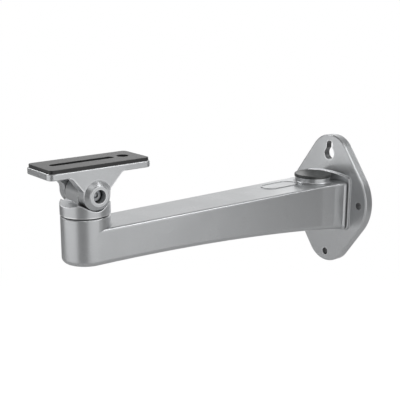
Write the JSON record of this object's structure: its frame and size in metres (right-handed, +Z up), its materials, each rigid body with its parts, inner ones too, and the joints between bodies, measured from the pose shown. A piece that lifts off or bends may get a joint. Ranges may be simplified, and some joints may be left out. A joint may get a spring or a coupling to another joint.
{
  "type": "camera wall bracket",
  "caption": "Hollow cast wall arm for a security camera, with a pan swivel and a tilting slotted camera plate at its tip.",
  "frame": {"origin": "centre of the wall flange's back face, midway between its two side screw holes", "axes": "+Y into the wall, the arm reaches along -Y, +Z up, the tilt axis runs along X"},
  "size_m": [0.103, 0.3415, 0.1431],
  "materials": {
    "casting": "satin silver-grey paint",
    "pad": "matt",
    "plug": "matt",
    "washer": "matt black nylon",
    "steel": "bright zinc"
  },
  "bodies": {
    "arm": {"arm_casting": "casting", "cable_plug": "plug", "pan_friction_ring": "washer"},
    "swivel": {"swivel_neck": "casting", "pan_flat_washer": "steel", "pan_spring_washer": "steel", "pan_bolt": "steel"},
    "head": {"camera_plate": "casting", "plate_pad": "pad", "tilt_bolt": "steel", "tilt_nut": "steel", "tilt_washer_near": "washer", "tilt_washer_far": "washer"}
  },
  "joints": [
    {"name": "pan", "type": "hinge", "parent": "arm", "child": "swivel", "pos_m": [0, -0.3, 0.0316], "axis": [0, 0, 1], "range_deg": [-180, 180]},
    {"name": "tilt", "type": "hinge", "parent": "swivel", "child": "head", "pos_m": [0, -0.3, 0.0505], "axis": [1, 0, 0], "range_deg": [-45, 45]}
  ]
}
